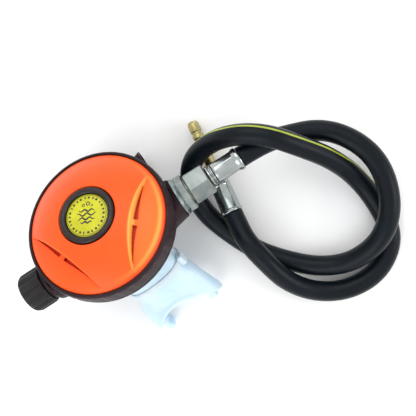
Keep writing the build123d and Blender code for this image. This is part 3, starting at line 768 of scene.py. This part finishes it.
knob = lathe("knob_body", [
    (0.01, -59.5), (4.6, -59.5), (4.9, -59.1), (8.4, -59.1), (8.8, -59.5), (9.9, -59.2), (10.9, -58.3), (11.6, -56.8), (11.65, -52.0), (11.6, -47.2),
    (11.2, -46.0), (10.6, -45.5), (9.95, -45.5), (9.9, -50.5), (2.8, -50.6)], [M_KNOB], BAR, segs=288, rad=flutes, round_r=0.35, cap=(True, False))
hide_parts("adjusting_knob")
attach(knob, "knob")

# ------------------------------------------------------ metal at the inlet
def hexagon(name, z0, z1, af, cham, mats, turn=0.0, bore=None):
    R = af / 2 / math.cos(math.pi / 6)
    rings = []
    for z, k in ((z0, 1 - cham / R), (z0 + cham * 0.6, 1.0), (z1 - cham * 0.6, 1.0), (z1, 1 - cham / R)):
        rings.append([(R * k * math.cos(math.pi / 3 * j + turn), R * k * math.sin(math.pi / 3 * j + turn), z) for j in range(6)])
    v, f = rings_mesh(rings, cap=(True, True))
    o = mesh_obj(name, v, f, mats, BAR, smooth=False)
    bevel(o, 0.0004, 3)
    return o


nut = hexagon("nut_hexagon", 51.0, 63.8, 17.5, 0.9, [M_PLATE])
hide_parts("swivel_nut")
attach(nut, "nut")

flange = lathe("locknut_flange", [
    (7.0, 43.4), (11.2, 43.45), (11.4, 44.1), (11.15, 44.9), (9.7, 46.3), (9.0, 46.6), (7.0, 46.6)], [M_PLATE], BAR, segs=128, closed=True, round_r=0.2)
locknut = hexagon("locknut_hexagon", 45.6, 50.4, 18.8, 0.7, [M_PLATE], turn=math.radians(20))
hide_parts("inlet_locknut")
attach(locknut, "case")
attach(flange, "case")

stem = lathe("stem_neck", [
    (4.4, 63.9), (6.1, 64.2), (6.4, 64.6), (6.4, 65.4), (6.0, 65.7), (5.1, 65.9), (5.1, 66.4), (5.7, 66.5), (6.0, 66.7), (6.0, 67.2), (4.9, 67.5), (4.4, 68.3)],
    [M_BRIGHT], BAR, segs=96, round_r=0.15)
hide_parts("hose_stem")
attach(stem, "case")

inlet = lathe("inlet_sleeve", [
    (4.4, 67.6), (5.5, 67.6), (6.1, 68.1), (6.3, 69.0), (6.25, 75.0), (6.25, 80.6), (6.35, 81.4), (6.85, 82.4), (6.92, 83.7), (6.6, 84.35), (5.9, 84.4)],
    [M_BRIGHT], BAR, segs=96, rad=crimp(69.2, 81.2, 8, 0.0, 6.2), round_r=0.22)
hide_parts("inlet_ferrule")
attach(inlet, "case")

# -------------------------------------------------------------- mouthpiece
def sup(a, b, n, k=64, e=2.6):
    """superellipse ring of half sizes a, b"""
    out = []
    for j in range(k):
        t = 2 * math.pi * j / k
        c, s = math.cos(t), math.sin(t)
        out.append((a * math.copysign(abs(c) ** (2 / e), c), b * math.copysign(abs(s) ** (2 / e), s)))
    return out


def bow(x, y, t0):
    """how the lip flange curves away from the case at its ends"""
    return t0 + 15.0 * (abs(x) / 24.5) ** 2 - 0.6 * (y / 11.0) ** 2


K = 72
R = []


def sweep(x, t, t0=17.0, t1=33.0, reach=15.0):
    """stations slide forward toward the tips as the body opens into the lip flange"""
    return t + reach * (abs(x) / 24.5) ** 2 * min(1.0, max(0.0, (t - t0) / (t1 - t0))) ** 1.2


for a, b, t, e in ((18.7, 11.7, 3.0, 2.5), (18.9, 11.9, 9.6, 2.5), (19.0, 12.0, 11.0, 2.5), (18.75, 11.75, 13.5, 2.5), (18.7, 11.7, 16.0, 2.5), (19.4, 11.4, 18.6, 2.5),
                   (21.2, 10.7, 21.4, 2.4), (22.9, 10.0, 24.2, 2.4), (24.0, 9.6, 27.0, 2.3), (24.6, 9.6, 29.6, 2.3), (24.9, 10.2, 31.6, 2.2)):
    R.append([(x, y, sweep(x, t)) for x, y in sup(a, b, K, K, e)])
for a, b, t0, e in ((25.1, 11.0, 32.6, 2.15), (25.3, 11.6, 33.5, 2.1),
                    (25.3, 11.8, 34.3, 2.1), (24.7, 11.6, 35.2, 2.1), (22.8, 11.0, 35.5, 2.1), (19.6, 9.8, 35.6, 2.2), (16.2, 8.2, 35.7, 2.3), (14.2, 6.6, 35.5, 2.4)):
    R.append([(x, y, bow(x, y, t0)) for x, y in sup(a, b, K, K, e)])
for a, b, t in ((13.6, 6.0, 33.0), (13.8, 6.4, 27.0), (14.2, 7.0, 20.0), (16.4, 9.4, 18.0), (16.5, 9.5, 14.0), (16.5, 9.5, 10.0)):
    R.append([(x, y, t + (5.0 * (x / 24.5) ** 2 if t > 30 else 0)) for x, y in sup(a, b, K, K, 2.4)])
mv, mf = rings_mesh(R, closed=True)


def ease(x, y, t):
    """the soft wings have settled a little to one side"""
    k = min(1.0, max(0.0, (t - 16.0) / 20.0))
    k = k * k * (3 - 2 * k)
    return x - 3.0 * k, y, t - 1.8 * k


mouth = mesh_obj("mouth_body", [ease(*p) for p in mv], mf, [M_SILI], TUBE)
parts = [mouth]
for s in (1, -1):
    tr = []
    for t, hw, hh, dx in ((33.5, 3.0, 4.4, 0.0), (38.0, 2.2, 4.0, 0.3), (43.0, 1.9, 4.0, 0.5), (47.5, 1.9, 4.1, 0.4), (49.5, 2.9, 4.4, 0.1), (51.4, 3.0, 4.4, 0.0), (52.6, 2.0, 3.4, 0.0)):
        tr.append([(s * (17.6 + dx) + x, y, t) for x, y in sup(hw, hh, 24, 24, 3.0)])
    v, f = rings_mesh(tr, cap=(True, True))
    parts.append(mesh_obj("bite_%s" % ("a" if s > 0 else "b"), [ease(*p) for p in v], f, [M_SILI], TUBE))
bm = bmesh.new()
for o in parts:
    bm.from_mesh(o.data)
bm.to_mesh(mouth.data)
bm.free()
for o in parts[1:]:
    bpy.data.objects.remove(o)
rm = mouth.modifiers.new("blend", "REMESH")
rm.mode = "VOXEL"
rm.voxel_size = 0.00055
rm.use_smooth_shade = True
sm = mouth.modifiers.new("ease", "SMOOTH")
sm.factor = 0.5
sm.iterations = 6
apply_mods(mouth)
mouth.data.materials.clear()
mouth.data.materials.append(M_SILI)
for p in mouth.data.polygons:
    p.use_smooth = True
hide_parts("mouthpiece")
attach(mouth, "case")

# cable tie round the mouthpiece's collar
R = []
for da, t in ((0.05, 11.1), (0.75, 11.2), (1.05, 11.6), (1.05, 15.0), (0.75, 15.4), (0.05, 15.5)):
    R.append([(x, y, t) for x, y in sup(18.85 + da, 11.8 + da, K, K, 2.5)])
v, f = rings_mesh(R, closed=True)
tie = mesh_obj("tie_band", v, f, [M_TIE], TUBE)
hr = []
for z, k in ((0.0, 0.86), (0.35, 1.0), (2.9, 1.0), (3.4, 0.88)):
    hr.append([(x * k, y * k, z) for x, y in sup(3.3, 2.9, 24, 24, 5.0)])
v, f = rings_mesh(hr, cap=(True, True))
hp = TUBE @ Matrix.Translation(Vector((18.9, 3.6, 13.2)) * S) @ Matrix.Rotation(math.radians(90), 4, "Y")
head = mesh_obj("tie_head", v, f, [M_TIE], hp)
bevel(head, 0.0002)
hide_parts("mouthpiece_tie")
for o in (tie, head):
    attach(o, "case")

# -------------------------------------------- finish on the CAD's own nodes
FINISH = {
    "inner_grille": M_INNER, "purge_spring": M_STEEL, "diaphragm": M_SOFT,
    "diaphragm_plate": M_INNER, "demand_lever": M_STEEL, "valve_barrel": M_PLATE, "barrel_oring_in": M_SEAL,
    "barrel_oring_out": M_SEAL, "orifice": M_BRASS, "orifice_oring": M_SEAL, "poppet": M_INNER,
    "poppet_seat": M_SEAL, "poppet_spring": M_STEEL, "spring_carrier": M_BRASS, "carrier_oring": M_SEAL,
    "knob_gland": M_PLATE, "knob_screw": M_STEEL, "exhaust_valve": M_SOFT, "exhaust_tee": M_CASE,
}
for name, m in FINISH.items():
    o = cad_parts[name]
    if not o.material_slots:
        o.data.materials.append(m)
    for slot in o.material_slots:
        slot.material = m

# ---------------------------------------------------------- floor and light
bpy.ops.mesh.primitive_plane_add(size=6, location=(0, 0, -0.0002))
floor = bpy.context.object
floor.name = "floor"
fm, fnt, fb = nodes_of("floor_pale")
fb.inputs["Base Color"].default_value = (0.97, 0.97, 0.97, 1)
fb.inputs["Roughness"].default_value = 0.9
fb.inputs["Specular IOR Level"].default_value = 0.1
floor.data.materials.append(fm)

world = bpy.data.worlds.new("studio")
bpy.context.scene.world = world
world.use_nodes = True
bg = next(n for n in world.node_tree.nodes if n.type == "BACKGROUND")
bg.inputs["Color"].default_value = (1.0, 1.0, 1.0, 1)
bg.inputs["Strength"].default_value = 1.0


def soft_light(name, pos, aim, size, power, colour=(1, 1, 1)):
    d = bpy.data.lights.new(name, "AREA")
    d.shape = "RECTANGLE"
    d.size = size[0]
    d.size_y = size[1]
    d.energy = power
    d.color = colour
    o = link(bpy.data.objects.new(name, d))
    o.location = pos
    o.rotation_euler = (Vector(aim) - Vector(pos)).to_track_quat("-Z", "Y").to_euler()
    return o


soft_light("key", (0.35, 0.75, 0.95), (0.02, 0.0, 0.03), (1.0, 0.8), 4.2)
soft_light("side", (0.85, -0.50, 0.50), (0.0, 0.0, 0.04), (0.45, 0.35), 2.6)
soft_light("fill", (-0.6, -0.5, 0.8), (0.03, 0.0, 0.03), (0.7, 0.7), 3.5, (0.93, 0.97, 1.0))
bpy.context.scene.view_settings.view_transform = "Standard"
bpy.context.scene.view_settings.look = "None"
bpy.context.scene.view_settings.exposure = 0.0
